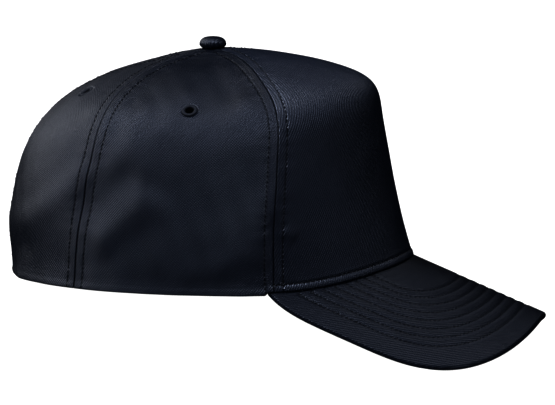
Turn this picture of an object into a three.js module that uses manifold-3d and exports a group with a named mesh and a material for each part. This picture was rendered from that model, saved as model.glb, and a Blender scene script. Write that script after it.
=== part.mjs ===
// Five panel cap: a soft cloth crown of one wide front panel, two side panels and two back panels,
// a stitched cloth-covered peak, a covered button at the top and four sewn eyelets.
// Millimetres. The cap is shaped with its rim plane level at z = 0, the peak toward +X and the
// wearer's left toward +Y, then tipped back to rest on the peak's two low sides and the back rim.
import * as THREE from 'three';
import Module from 'manifold-3d';

// Driving sizes of the crown.
const CROWN_HEIGHT = 115.4;
const RIM_HALF_LENGTH = 100;
const RIM_HALF_WIDTH = 82;
const CLOTH_THICKNESS = 1.6;
const HEM_THICKNESS = 2.6;
const HEM_HEIGHT = 7;
const CLOTH_LENGTH_DOWN = 155;
const SEAM_GAP = 0.3;
const TOP_HOLE_RADIUS = 4;

// Driving sizes of the peak.
const PEAK_LENGTH = 72.7;
const PEAK_HALF_ARC = 90.9;
const PEAK_THICKNESS = 3.2;
const PEAK_SLOPE_DEG = 23;
const PEAK_ARCH_RADIUS = 103;
const PEAK_ROOT_HEIGHT = 11.1;
const PEAK_CORNER_DEG = 63;
const PEAK_SQUARENESS = 2.8;
const PEAK_FRONT_SHARE = 0.72;
const PEAK_GAP = 0.4;

// Driving sizes of the button and the eyelets.
const BUTTON_DIAMETER = 13.5;
const BUTTON_HEIGHT = 5.6;
const BUTTON_STEM_DIAMETER = 5;
const BUTTON_BACK_DIAMETER = 11;
const BUTTON_BACK_THICKNESS = 1.2;
// The button's outline from its top down: shares of its radius and of its height.
const BUTTON_SECTIONS = [
  [0.00, 1.00],
  [0.35, 0.985],
  [0.65, 0.90],
  [0.87, 0.72],
  [0.98, 0.47],
  [0.97, 0.24],
  [0.86, 0.08],
  [0.80, 0.00],
];
const EYELET_DIAMETER = 8.2;
const EYELET_HOLE_DIAMETER = 4;
const EYELET_THICKNESS = 2.4;
const FITTING_GAP = 0.3;

// How much higher the rim is at the back than at the sides of the peak, and how far the soft back
// rim is pressed flat where it stands.
const RIM_BACK_RISE = 1.3;
const RIM_FLATTENED = 1.2;

// Crown sections, from the button down to the rim. Each "out" is a share of the rim's reach in
// that direction and each "up" a share of the height above the rim. Seams are degrees from the front.
const CROWN_COLUMNS = ['front_out', 'front_up', 'side_out', 'side_up', 'back_out', 'back_up', 'front_seam', 'back_seam'];
const CROWN_SECTIONS = [
  [0.00, 1.000, 0.00, 1.000, 0.00, 1.000, 46, 142],
  [0.22, 0.988, 0.22, 0.968, 0.20, 0.965, 49, 141],
  [0.44, 0.960, 0.43, 0.915, 0.40, 0.915, 53, 138],
  [0.64, 0.915, 0.62, 0.850, 0.58, 0.860, 55, 134],
  [0.79, 0.860, 0.80, 0.775, 0.72, 0.795, 56, 131],
  [0.84, 0.780, 0.895, 0.680, 0.83, 0.710, 57, 129.5],
  [0.85, 0.670, 0.93, 0.570, 0.91, 0.615, 58.5, 129.5],
  [0.875, 0.530, 0.955, 0.450, 0.965, 0.500, 59.5, 130],
  [0.905, 0.360, 0.98, 0.310, 1.01, 0.350, 61, 131],
  [0.95, 0.180, 1.00, 0.150, 1.02, 0.180, 61.5, 132],
  [1.00, 0.000, 1.00, 0.000, 1.00, 0.000, 61.5, 133],
];

// Soft folds in the cloth of each side. Ends are degrees from the front and shares of the way down
// the crown. Height is a share of FOLD_HEIGHT, out when positive, and width a share of FOLD_WIDTH.
const FOLD_HEIGHT = 2;
const FOLD_WIDTH = 8;
const FOLD_COLUMNS = ['from_deg', 'from_down', 'to_deg', 'to_down', 'height', 'width'];
const FOLDS = [
  [121, 0.895, 96, 0.71, 1.0, 0.95],
  [130, 0.81, 103, 0.61, -0.85, 0.95],
  [128, 0.62, 147, 0.79, 1.0, 0.9],
  [136, 0.86, 168, 0.91, -0.4, 1.0],
];

// Soft ridges along the seams, where the panels meet at a slight angle. Height is a share of
// RIDGE_HEIGHT, and a ridge has died away at its share of the way down the crown.
const RIDGE_HEIGHT = 2.2;
const RIDGE_SPAN_DEG = 38;
const RIDGE_COLUMNS = ['seam', 'height', 'ends_down'];
const SEAM_RIDGES = [
  ['front_seam', 1.0, 1.0],
  ['back_seam', 0.8, 0.75],
];

// Where each eyelet sits: degrees from the front and share of the way down the crown.
const EYELET_COLUMNS = ['name', 'deg', 'down'];
const EYELETS = [
  ['eyelet_side', 93, 0.385],
  ['eyelet_back', 158, 0.36],
];

// Mesh steps.
const STEPS_DOWN = 17;
const FRONT_STEPS = 32;
const SIDE_STEPS = 20;
const BACK_STEPS = 13;
const PEAK_STEPS_ACROSS = 44;
const PEAK_STEPS_OUT = 7;

const rad = (deg) => (deg * Math.PI) / 180;
const deg = (angle) => (angle * 180) / Math.PI;
const column = (table, columns, name) => table.map((row) => row[columns.indexOf(name)]);

// Smooth curve through a table column, as a uniform cubic B-spline that reaches both end rows.
function along(name, down) {
  const c = column(CROWN_SECTIONS, CROWN_COLUMNS, name);
  const n = c.length;
  const all = [2 * c[0] - c[1], ...c, 2 * c[n - 1] - c[n - 2]];
  const s = Math.min(Math.max(down, 0), 1) * (n - 1);
  const i = Math.min(Math.floor(s), n - 2);
  const f = s - i;
  const g = 1 - f;
  const weights = [g ** 3, 3 * f ** 3 - 6 * f ** 2 + 4, -3 * f ** 3 + 3 * f ** 2 + 3 * f + 1, f ** 3];
  return weights.reduce((sum, w, k) => sum + w * all[i + k], 0) / 6;
}

const smooth = (x) => {
  const s = Math.min(Math.max(x, 0), 1);
  return s * s * (3 - 2 * s);
};

// Reach of the rim's oval in a direction.
function reach(phi) {
  return 1 / Math.hypot(Math.cos(phi) / RIM_HALF_LENGTH, Math.sin(phi) / RIM_HALF_WIDTH);
}

// How far the arched peak has dropped at a distance from its centre line.
function archDrop(y) {
  return PEAK_ARCH_RADIUS - Math.sqrt(Math.max(PEAK_ARCH_RADIUS ** 2 - y * y, 0));
}

// Height of the peak's top surface over a plan point.
function peakHeight(x, y) {
  const slope = rad(PEAK_SLOPE_DEG);
  return PEAK_ROOT_HEIGHT - Math.tan(slope) * (x - RIM_HALF_LENGTH) - archDrop(y) / Math.cos(slope);
}

// Lowest that the crown's cloth may reach over a plan point: on the peak in front, and behind it on
// the rim's plane, which rises slightly from a quarter of the way forward to the back.
function rimFloor(x, y) {
  const overPeak = Math.abs(Math.atan2(y, x)) < rad(PEAK_CORNER_DEG + 2);
  const back = (0.25 - x / RIM_HALF_LENGTH) / 1.25;
  const level = RIM_BACK_RISE * Math.min(Math.max(back, 0), 1);
  return overPeak ? Math.max(peakHeight(x, y) + PEAK_GAP, level) : level;
}

// Folds are measured on the cloth laid out flat: this much cloth for each degree round.
const ROUND_PER_DEG = (Math.PI * RIM_HALF_WIDTH) / 180;

// How far a seam's ridge lifts the cloth.
function ridgeHeight(phi, down) {
  let total = 0;
  for (const row of SEAM_RIDGES) {
    const get = (name) => row[RIDGE_COLUMNS.indexOf(name)];
    const away = Math.abs(Math.abs(deg(phi)) - along(get('seam'), down)) / RIDGE_SPAN_DEG;
    const fade = smooth(down / 0.25) * smooth((get('ends_down') - down) / 0.3);
    total += RIDGE_HEIGHT * get('height') * fade * Math.max(1 - away, 0) ** 2;
  }
  return total;
}

// How far the folds and the seams' ridges move the cloth out from its plain surface.
function foldHeight(phi, down) {
  const at = new THREE.Vector2(Math.abs(deg(phi)) * ROUND_PER_DEG, down * CLOTH_LENGTH_DOWN);
  let total = ridgeHeight(phi, down);
  for (const row of FOLDS) {
    const get = (name) => row[FOLD_COLUMNS.indexOf(name)];
    const from = new THREE.Vector2(get('from_deg') * ROUND_PER_DEG, get('from_down') * CLOTH_LENGTH_DOWN);
    const to = new THREE.Vector2(get('to_deg') * ROUND_PER_DEG, get('to_down') * CLOTH_LENGTH_DOWN);
    const line = to.clone().sub(from);
    const share = at.clone().sub(from).dot(line) / line.lengthSq();
    const across = Math.abs(at.clone().sub(from).cross(line)) / line.length();
    const fade = smooth(share / 0.35 + 0.5) * smooth((1 - share) / 0.35 + 0.5);
    total += FOLD_HEIGHT * get('height') * fade * Math.exp(-((across / (FOLD_WIDTH * get('width'))) ** 2));
  }
  return total;
}

// Plain outer surface of the crown, before folds.
function bareCrown(phi, down) {
  const c = Math.cos(phi);
  const s = Math.sin(phi);
  const lengthwise = c > 0 ? 'front' : 'back';
  const out = c * c * along(`${lengthwise}_out`, down) + s * s * along('side_out', down);
  const up = c * c * along(`${lengthwise}_up`, down) + s * s * along('side_up', down);
  const r = out * reach(phi);
  const base = rimFloor(reach(phi) * c, reach(phi) * s);
  return new THREE.Vector3(r * c, r * s, base + up * (CROWN_HEIGHT - base));
}

function crownNormal(phi, down) {
  const step = 0.004;
  const low = Math.max(down - step, 0.004);
  const high = Math.min(down + step, 1);
  const round = bareCrown(phi + step, down).sub(bareCrown(phi - step, down));
  const fall = bareCrown(phi, high).sub(bareCrown(phi, low));
  return fall.cross(round).normalize();
}

// A point in the crown's wall: depth 0 is the outer face and 1 the inner face.
function crownPoint(phi, down, depth) {
  const hem = smooth(1 - ((1 - down) * CLOTH_LENGTH_DOWN) / HEM_HEIGHT);
  const extra = hem * (HEM_THICKNESS - CLOTH_THICKNESS);
  const outside = foldHeight(phi, down) + extra * 0.6;
  const inside = foldHeight(phi, down) - CLOTH_THICKNESS - extra * 0.4;
  const move = depth === 0 ? outside : inside;
  const p = bareCrown(phi, down).addScaledVector(crownNormal(phi, down), move);
  p.z = Math.max(p.z, rimFloor(p.x, p.y));
  return p;
}

// Peak surface from its flat pattern: across and forward distances on the board before it is bent.
function bendPeak(across, forward, depth) {
  const slope = rad(PEAK_SLOPE_DEG);
  const turn = across / PEAK_ARCH_RADIUS;
  const radius = PEAK_ARCH_RADIUS - depth;
  const drop = PEAK_ARCH_RADIUS - radius * Math.cos(turn);
  return new THREE.Vector3(
    RIM_HALF_LENGTH + forward * Math.cos(slope) - drop * Math.sin(slope),
    radius * Math.sin(turn),
    PEAK_ROOT_HEIGHT - forward * Math.sin(slope) - drop * Math.cos(slope),
  );
}

// Flat pattern place of a plan point on the peak.
function flattenPeak(x, y) {
  const slope = rad(PEAK_SLOPE_DEG);
  const across = PEAK_ARCH_RADIUS * Math.asin(y / PEAK_ARCH_RADIUS);
  return [across, (x - RIM_HALF_LENGTH + archDrop(y) * Math.sin(slope)) / Math.cos(slope)];
}

// Inner edge of the peak in the flat pattern, under the crown's wall; share runs from -1 to 1.
function peakInner(share) {
  const phi = share * rad(PEAK_CORNER_DEG);
  const r = reach(phi) - HEM_THICKNESS;
  return flattenPeak(r * Math.cos(phi), r * Math.sin(phi));
}

// Outer edge of the peak in the flat pattern, square-shouldered in front and drawn in to the corners.
function peakOuter(share) {
  const side = Math.sign(share);
  const k = Math.abs(share);
  const turn = (Math.min(k / PEAK_FRONT_SHARE, 1) * Math.PI) / 2;
  const power = 2 / PEAK_SQUARENESS;
  const across = PEAK_HALF_ARC * Math.sin(turn) ** power;
  const forward = PEAK_LENGTH * Math.max(Math.cos(turn), 0) ** power;
  const back = Math.max(k - PEAK_FRONT_SHARE, 0) / (1 - PEAK_FRONT_SHARE);
  const corner = rad(PEAK_CORNER_DEG);
  const end = flattenPeak(reach(corner) * Math.cos(corner), reach(corner) * Math.sin(corner));
  return [side * (across - (PEAK_HALF_ARC - end[0]) * back ** 5), forward + end[1] * back];
}

// Closed mesh through a row of closed loops of points. Each loop runs along one face and back along
// the other, so an open row's ends are closed by strips between the two halves of its loop.
function loft(loops, joined) {
  const size = loops[0].length;
  const positions = loops.flat().flatMap((p) => [p.x, p.y, p.z]);
  const faces = [];
  const rows = joined ? loops.length : loops.length - 1;
  for (let i = 0; i < rows; i += 1) {
    const next = (i + 1) % loops.length;
    for (let j = 0; j < size; j += 1) {
      const k = (j + 1) % size;
      const a = i * size + j;
      const b = next * size + j;
      const c = next * size + k;
      const d = i * size + k;
      faces.push(a, b, c, a, c, d);
    }
  }
  if (!joined) {
    const last = (loops.length - 1) * size;
    for (let j = 0; j < Math.floor(size / 2); j += 1) {
      const far = size - 1 - j;
      if (far - j > 1) {
        faces.push(j, j + 1, far, last + j, last + far, last + j + 1);
      }
      if (far - j > 2) {
        faces.push(j + 1, far - 1, far, last + j + 1, last + far, last + far - 1);
      }
    }
  }
  return closedGeometry(positions, faces);
}

// Geometry with its faces turned outward.
function closedGeometry(positions, faces) {
  let volume = 0;
  const at = (i) => new THREE.Vector3(positions[3 * i], positions[3 * i + 1], positions[3 * i + 2]);
  for (let i = 0; i < faces.length; i += 3) {
    volume += at(faces[i]).dot(at(faces[i + 1]).cross(at(faces[i + 2])));
  }
  const turned = volume > 0 ? faces : faces.slice().reverse();
  const geometry = new THREE.BufferGeometry();
  geometry.setAttribute('position', new THREE.Float32BufferAttribute(positions, 3));
  geometry.setIndex(turned);
  return geometry;
}

// Solid of revolution about +Z. The profile starts and ends on the axis.
function revolve(profile, steps) {
  const positions = [0, 0, profile[0][1]];
  const faces = [];
  const rings = profile.slice(1, -1);
  for (let i = 0; i < steps; i += 1) {
    const turn = (2 * Math.PI * i) / steps;
    rings.forEach(([r, z]) => positions.push(r * Math.cos(turn), r * Math.sin(turn), z));
  }
  const end = positions.length / 3;
  positions.push(0, 0, profile[profile.length - 1][1]);
  const at = (i, j) => 1 + (i % steps) * rings.length + j;
  for (let i = 0; i < steps; i += 1) {
    faces.push(0, at(i, 0), at(i + 1, 0));
    for (let j = 0; j < rings.length - 1; j += 1) {
      faces.push(at(i, j), at(i, j + 1), at(i + 1, j + 1), at(i, j), at(i + 1, j + 1), at(i + 1, j));
    }
    faces.push(end, at(i + 1, rings.length - 1), at(i, rings.length - 1));
  }
  return closedGeometry(positions, faces);
}

const range = (n) => Array.from({ length: n + 1 }, (_, i) => i / n);

// Share of the way down at which the crown reaches a plan radius, in a direction.
function downAt(phi, radius) {
  let low = 0;
  let high = 0.4;
  for (let i = 0; i < 30; i += 1) {
    const mid = (low + high) / 2;
    const p = bareCrown(phi, mid);
    if (Math.hypot(p.x, p.y) < radius) {
      low = mid;
    } else {
      high = mid;
    }
  }
  return high;
}

// Heights of a face of the crown all round at a plan radius.
function heightsAt(radius, depth) {
  return range(24).map((s) => crownPoint(2 * Math.PI * s, downAt(2 * Math.PI * s, radius), depth).z);
}

// A crown panel between two seams. Each seam is a function of the way down, in radians.
function panel(fromSeam, toSeam, steps) {
  const loops = range(steps).map((share) => {
    const start = downAt(fromSeam(0) * (1 - share) + toSeam(0) * share, TOP_HOLE_RADIUS);
    const edge = (down) => {
      const gap = SEAM_GAP / 2 / Math.max(bareCrown(fromSeam(down), down).setZ(0).length(), 1);
      const gapTo = SEAM_GAP / 2 / Math.max(bareCrown(toSeam(down), down).setZ(0).length(), 1);
      return (fromSeam(down) + gap) * (1 - share) + (toSeam(down) - gapTo) * share;
    };
    const downs = range(STEPS_DOWN).map((s) => start + (1 - start) * s);
    const outer = downs.map((down) => crownPoint(edge(down), down, 0));
    const inner = downs.map((down) => crownPoint(edge(down), down, 1));
    return [...outer, ...inner.reverse()];
  });
  return loft(loops, false);
}

function peakGeometry() {
  const loops = range(PEAK_STEPS_ACROSS).map((s) => {
    const share = 2 * s - 1;
    const inner = peakInner(share);
    const outer = peakOuter(share);
    const mix = (t) => [inner[0] + (outer[0] - inner[0]) * t, inner[1] + (outer[1] - inner[1]) * t];
    const width = Math.hypot(outer[0] - inner[0], outer[1] - inner[1]);
    const edge = Math.min((0.3 * PEAK_THICKNESS) / width, 0.3);
    const stops = range(PEAK_STEPS_OUT).map((t) => t * (1 - edge));
    const top = stops.map((t) => bendPeak(...mix(t), 0));
    const under = stops.map((t) => bendPeak(...mix(t), PEAK_THICKNESS));
    const round = [bendPeak(...mix(1), PEAK_THICKNESS * 0.3), bendPeak(...mix(1), PEAK_THICKNESS * 0.7)];
    return [...top, ...round, ...under.reverse()];
  });
  return loft(loops, false);
}

// Covered button with its stem through the crown and its flat back inside.
function buttonGeometry() {
  const r = BUTTON_DIAMETER / 2;
  const stem = BUTTON_STEM_DIAMETER / 2;
  const back = BUTTON_BACK_DIAMETER / 2;
  const rest = Math.max(...heightsAt(TOP_HOLE_RADIUS, 0)) + FITTING_GAP;
  const under = Math.min(...heightsAt(back, 1)) - FITTING_GAP;
  const dome = BUTTON_SECTIONS.map(([out, up]) => [out * r, rest + up * BUTTON_HEIGHT]);
  const profile = [
    ...dome,
    [stem, rest],
    [stem, under],
    [back, under],
    [back, under - BUTTON_BACK_THICKNESS],
    [0, under - BUTTON_BACK_THICKNESS],
  ];
  return revolve(profile, 28);
}

// Ring of stitching with an oval section, about +Z.
function eyeletGeometry() {
  const middle = (EYELET_DIAMETER + EYELET_HOLE_DIAMETER) / 4;
  const half = (EYELET_DIAMETER - EYELET_HOLE_DIAMETER) / 4;
  const loops = range(20).slice(0, -1).map((s) => {
    const turn = 2 * Math.PI * s;
    return range(8).slice(0, -1).map((t) => {
      const r = middle + half * Math.cos(2 * Math.PI * t);
      const z = (EYELET_THICKNESS / 2) * Math.sin(2 * Math.PI * t);
      return new THREE.Vector3(r * Math.cos(turn), r * Math.sin(turn), z);
    });
  });
  return loft(loops, true);
}

// Moves a shape made about +Z onto the crown wall's middle, square to the cloth.
function placeOnCrown(geometry, phi, down) {
  const normal = crownNormal(phi, down);
  const turn = new THREE.Quaternion().setFromUnitVectors(new THREE.Vector3(0, 0, 1), normal);
  const middle = crownPoint(phi, down, 0).addScaledVector(normal, -CLOTH_THICKNESS / 2);
  return geometry.applyMatrix4(new THREE.Matrix4().compose(middle, turn, new THREE.Vector3(1, 1, 1)));
}

const manifold = await Module();
manifold.setup();

function toSolid(geometry) {
  return new manifold.Manifold(new manifold.Mesh({
    numProp: 3,
    vertProperties: new Float32Array(geometry.attributes.position.array),
    triVerts: new Uint32Array(geometry.index.array),
  }));
}

function fromSolid(solid) {
  const mesh = solid.getMesh();
  const geometry = new THREE.BufferGeometry();
  geometry.setAttribute('position', new THREE.Float32BufferAttribute(mesh.vertProperties, 3));
  geometry.setIndex(Array.from(mesh.triVerts));
  return geometry;
}

// Opens the hole that an eyelet is sewn round.
function pierce(geometry, phi, down) {
  const radius = EYELET_DIAMETER / 2 + FITTING_GAP;
  const long = 3 * EYELET_THICKNESS;
  const cutter = revolve([[0, long], [radius, long], [radius, -long], [0, -long]], 28);
  const tool = toSolid(placeOnCrown(cutter, phi, down));
  return fromSolid(toSolid(geometry).subtract(tool));
}

const frontSeam = (side) => (down) => side * rad(along('front_seam', down));
const backSeam = (side) => (down) => side * rad(along('back_seam', down));
const centreBack = (side) => () => side * Math.PI;

function sidePanels(side) {
  const ordered = (from, to, steps) => (side > 0 ? panel(from, to, steps) : panel(to, from, steps));
  return {
    side: ordered(frontSeam(side), backSeam(side), SIDE_STEPS),
    back: ordered(backSeam(side), centreBack(side), BACK_STEPS),
  };
}

const CLOTH = { color: 0x1b2233, roughness: 0.9, metalness: 0 };
const THREAD = { color: 0x20283a, roughness: 0.8, metalness: 0 };

function node(name, geometry, look) {
  const mesh = new THREE.Mesh(geometry, new THREE.MeshStandardMaterial(look));
  mesh.name = name;
  return mesh;
}

const cap = new THREE.Group();
cap.name = 'five_panel_cap';
cap.add(node('front_panel', panel(frontSeam(-1), frontSeam(1), FRONT_STEPS), CLOTH));
for (const [word, side] of [['right', -1], ['left', 1]]) {
  const pieces = sidePanels(side);
  for (const [name, degrees, down] of EYELETS) {
    const which = name.split('_')[1];
    const phi = side * rad(degrees);
    pieces[which] = pierce(pieces[which], phi, down);
    cap.add(node(`${name}_${word}`, placeOnCrown(eyeletGeometry(), phi, down), THREAD));
  }
  cap.add(node(`side_panel_${word}`, pieces.side, CLOTH));
  cap.add(node(`back_panel_${word}`, pieces.back, CLOTH));
}
cap.add(node('peak', peakGeometry(), CLOTH));
cap.add(node('button', buttonGeometry(), CLOTH));

// Lowest height of a node's points once the cap is tipped back by an angle.
function lowest(mesh, pitch) {
  const p = mesh.geometry.attributes.position;
  let low = Infinity;
  for (let i = 0; i < p.count; i += 1) {
    low = Math.min(low, p.getX(i) * Math.sin(pitch) + p.getZ(i) * Math.cos(pitch));
  }
  return low;
}

// Tips the cap back until the peak's sides are level with the back rim, pressed flat.
function restPitch() {
  let low = 0;
  let high = rad(30);
  for (let i = 0; i < 50; i += 1) {
    const mid = (low + high) / 2;
    const peakLow = lowest(cap.getObjectByName('peak'), mid);
    const backLow = lowest(cap.getObjectByName('back_panel_left'), mid) + RIM_FLATTENED;
    if (peakLow < backLow) {
      low = mid;
    } else {
      high = mid;
    }
  }
  return (low + high) / 2;
}

const pitch = restPitch();
const ground = lowest(cap.getObjectByName('peak'), pitch);
for (const mesh of cap.children) {
  mesh.geometry.applyMatrix4(new THREE.Matrix4().makeRotationY(-pitch));
  mesh.geometry.translate(0, 0, -ground);
  const p = mesh.geometry.attributes.position;
  for (let i = 0; i < p.count; i += 1) {
    p.setZ(i, Math.max(p.getZ(i), 0));
  }
}
const middle = new THREE.Box3().setFromObject(cap).getCenter(new THREE.Vector3());
for (const mesh of cap.children) {
  mesh.geometry.translate(-middle.x, -middle.y, 0);
  mesh.geometry.computeVertexNormals();
}

export default cap;
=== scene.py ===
"""Five panel cap in Blender: cloth panels, stitched peak, button, eyelets, thread and a plain stage."""

from math import cos, pi, radians, sin, tan

import bmesh
import bpy
import numpy as np
from bpy.props import FloatProperty, IntProperty, PointerProperty, StringProperty
from bpy.types import Operator, Panel, PropertyGroup
from mathutils import Matrix, Vector


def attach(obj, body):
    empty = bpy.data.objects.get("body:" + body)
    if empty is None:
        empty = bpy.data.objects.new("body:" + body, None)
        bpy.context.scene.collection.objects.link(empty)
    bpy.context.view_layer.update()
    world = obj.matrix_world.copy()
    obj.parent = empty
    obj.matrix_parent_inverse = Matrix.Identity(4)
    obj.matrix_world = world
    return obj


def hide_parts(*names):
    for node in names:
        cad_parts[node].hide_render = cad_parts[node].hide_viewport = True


bl_info = {
    "name": "Five Panel Cap",
    "version": (1, 0, 0),
    "blender": (4, 5, 0),
    "location": "View3D > Sidebar > Cap",
    "description": "Dresses the solid model of a five panel cap in cloth and thread",
    "category": "Object",
}

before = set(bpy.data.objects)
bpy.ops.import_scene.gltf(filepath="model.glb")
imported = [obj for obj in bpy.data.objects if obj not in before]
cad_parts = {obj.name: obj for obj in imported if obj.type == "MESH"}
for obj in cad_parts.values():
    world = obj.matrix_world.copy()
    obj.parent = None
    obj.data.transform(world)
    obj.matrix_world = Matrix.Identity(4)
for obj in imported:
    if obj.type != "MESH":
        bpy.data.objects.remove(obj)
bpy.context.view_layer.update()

# Crown sections, from the button down to the rim. Each "out" is a share of the rim's reach in that
# direction and each "up" a share of the height above the rim. Seams are degrees from the front.
CROWN_COLUMNS = (
    "front_out", "front_up", "side_out", "side_up", "back_out", "back_up", "front_seam", "back_seam",
)
CROWN_SECTIONS = (
    (0.00, 1.000, 0.00, 1.000, 0.00, 1.000, 46, 142),
    (0.22, 0.988, 0.22, 0.968, 0.20, 0.965, 49, 141),
    (0.44, 0.960, 0.43, 0.915, 0.40, 0.915, 53, 138),
    (0.64, 0.915, 0.62, 0.850, 0.58, 0.860, 55, 134),
    (0.79, 0.860, 0.80, 0.775, 0.72, 0.795, 56, 131),
    (0.84, 0.780, 0.895, 0.680, 0.83, 0.710, 57, 129.5),
    (0.85, 0.670, 0.93, 0.570, 0.91, 0.615, 58.5, 129.5),
    (0.875, 0.530, 0.955, 0.450, 0.965, 0.500, 59.5, 130),
    (0.905, 0.360, 0.98, 0.310, 1.01, 0.350, 61, 131),
    (0.95, 0.180, 1.00, 0.150, 1.02, 0.180, 61.5, 132),
    (1.00, 0.000, 1.00, 0.000, 1.00, 0.000, 61.5, 133),
)

# Folds pressed into the cloth. Ends are degrees from the front and shares of the way down the crown,
# height is a share of the fold height, out when positive, and width a share of the fold width.
FOLD_COLUMNS = ("from_deg", "from_down", "to_deg", "to_down", "height", "width")
FOLDS = (
    (124, 0.88, 104, 0.72, 0.85, 0.95),
    (131, 0.80, 112, 0.645, -0.62, 0.95),
    (131, 0.66, 147, 0.82, 0.7, 0.9),
    (147, 0.82, 180, 0.885, 0.5, 0.9),
    (136, 0.90, 172, 0.95, -0.3, 1.0),
    (62, 0.80, 59, 0.93, -0.3, 0.35),
    (57, 0.83, 54, 0.86, 0.22, 0.4),
    (74, 0.90, 96, 0.95, 0.2, 0.8),
)

# Ridges along the seams, where flat-cut panels meet at an angle: the seam, its share of the ridge
# height and the share of the way down at which it has faded.
SEAM_RIDGES = (
    ("front_seam", 1.0, 1.0),
    ("back_seam", 0.8, 0.75),
)

# The covered button's outline from its top down: shares of its radius and of its height.
BUTTON_SECTIONS = (
    (0.00, 1.00),
    (0.35, 0.985),
    (0.65, 0.90),
    (0.87, 0.72),
    (0.98, 0.47),
    (0.97, 0.24),
    (0.86, 0.08),
    (0.80, 0.00),
)

# Where each vent eyelet sits: node name, degrees from the front, share of the way down the crown.
EYELETS = (
    ("eyelet_side_right", -93, 0.385),
    ("eyelet_side_left", 93, 0.385),
    ("eyelet_back_right", -158, 0.36),
    ("eyelet_back_left", 158, 0.36),
)

# Studio lights: name, the part of the cap it is flagged to, degrees round from the peak, degrees up,
# strength, and how many degrees wide it is seen from the cap. The floor has lights of its own, so
# that it stays evenly pale while the dark cloth is lit from behind and above.
LIGHTS = (
    ("crown_low", "crown", 222, 8, 0.7, 34),
    ("crown_back", "crown", 172, 14, 2.6, 40),
    ("crown_side", "crown", 240, 50, 4.3, 30),
    ("crown_top", "crown", 324, 65, 3.2, 30),
    ("crown_far", "crown", 144, 35, 0.52, 34),
    ("crown_edge", "crown", 138, 12, 0.42, 34),
    ("front_key", "front", 210, 50, 13.0, 28),
    ("front_far", "front", 72, 65, 1.4, 28),
    ("front_fill", "front", 300, 50, 1.6, 28),
    ("front_edge", "front", 0, 50, 0.7, 28),
    ("peak_key", "peak", 216, 35, 7.4, 30),
    ("peak_near", "peak", 312, 20, 0.9, 30),
    ("peak_top", "peak", 90, 75, 1.4, 50),
    ("floor_light", "stage", 270, 70, 4.4, 60),
    ("shadow_light", "stage", 200, 75, 0.5, 70),
)

# The camera: degrees ahead of square to the cap's side and above its rim's plane, the place in the
# picture plane that it looks at, the width that it sees there, and its distance, in metres.
CAMERA_SWING = 7.5
CAMERA_RISE = 7.0
CAMERA_AIM = (0.03225, 0.03655)
CAMERA_VIEW = 0.2775
CAMERA_DISTANCE = 9.0
SENSOR_WIDTH = 36

# Degrees past the peak's corners over which the crown's walls, and its very rim, come down.
WALL_EASING = 11
RIM_EASING = 1.5

# Slant of the twill's ribs in degrees, and the half size of the floor in metres.
TWILL_SLANT = 38
FLOOR_SIZE = 30.0


def length(name, description, default):
    """A length setting in metres, shown in the file's units."""
    return FloatProperty(
        name=name, description=description, default=default, min=0, unit="LENGTH", precision=5
    )


def angle(name, description, degrees):
    """An angle setting, kept in radians."""
    return FloatProperty(name=name, description=description, default=radians(degrees), subtype="ANGLE")


def share(name, description, default):
    """A plain number between 0 and 1."""
    return FloatProperty(name=name, description=description, default=default, min=0, max=1, subtype="FACTOR")


class CrownSizes(PropertyGroup):
    """Sizes of the sewn crown."""

    height: length("Crown height", "Rim plane to the crown's top", 0.1154)
    half_length: length("Rim half length", "Middle of the rim to its front or back", 0.100)
    half_width: length("Rim half width", "Middle of the rim to its side", 0.082)
    cloth: length("Cloth", "Thickness of the crown's wall", 0.0016)
    hem: length("Hem", "Thickness of the folded hem", 0.0026)
    hem_height: length("Hem height", "How far up the hem is thick", 0.007)
    rim_rise: length("Rim rise", "How much higher the rim is at the back", 0.0013)
    top_hole: length("Top hole", "Radius left open under the button", 0.004)
    cloth_down: length("Cloth down", "Button to rim along the cloth", 0.155)
    fold_height: length("Fold height", "How far the main fold stands out", 0.0020)
    fold_width: length("Fold width", "Half width of the main fold", 0.008)
    ridge_height: length("Ridge height", "How far panels stand out at a seam", 0.0022)
    ridge_span: angle("Ridge span", "How far a ridge spreads on each side of its seam", 38)
    sag: length("Sag", "Height of the cloth's slow waves", 0.00045)
    sag_length: length("Sag length", "Length of the slow waves", 0.046)
    ripple: length("Ripple", "Height of the cloth's short waves", 0.00014)
    ripple_length: length("Ripple length", "Length of the short waves", 0.017)


class PeakSizes(PropertyGroup):
    """Sizes of the stiff peak."""

    length: length("Peak length", "Crown to the peak's front edge", 0.0727)
    half_arc: length("Half arc", "Middle to side along the bent board", 0.0909)
    thickness: length("Thickness", "Board and its two cloth covers", 0.0032)
    slope: angle("Slope", "How steeply the peak's middle line falls", 23)
    arch_radius: length("Arch radius", "Radius that the board is bent to", 0.103)
    root_height: length("Root height", "Height of the peak at the crown's front", 0.0111)
    corner: angle("Corner", "Direction of the peak's corners from the front", 63)
    squareness: FloatProperty(
        name="Squareness", description="How square the front corners are, 2 is an oval", default=2.8, min=2
    )
    front_share: share("Front share", "Share of the edge that goes round the front", 0.72)
    gap: length("Gap", "Room between the peak and the crown's hem", 0.0004)
    rows: IntProperty(name="Rows", description="Rows of stitching on the peak", default=8, min=1)
    first_row: length("First row", "Front edge to the outermost row", 0.0115)
    row_spacing: length("Row spacing", "Distance between rows", 0.00507)
    quilt_rise: length("Quilt rise", "How far the cover stands up between rows", 0.00022)
    quilt_dip: length("Quilt dip", "How far a row pulls the cover in", 0.00042)


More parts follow.
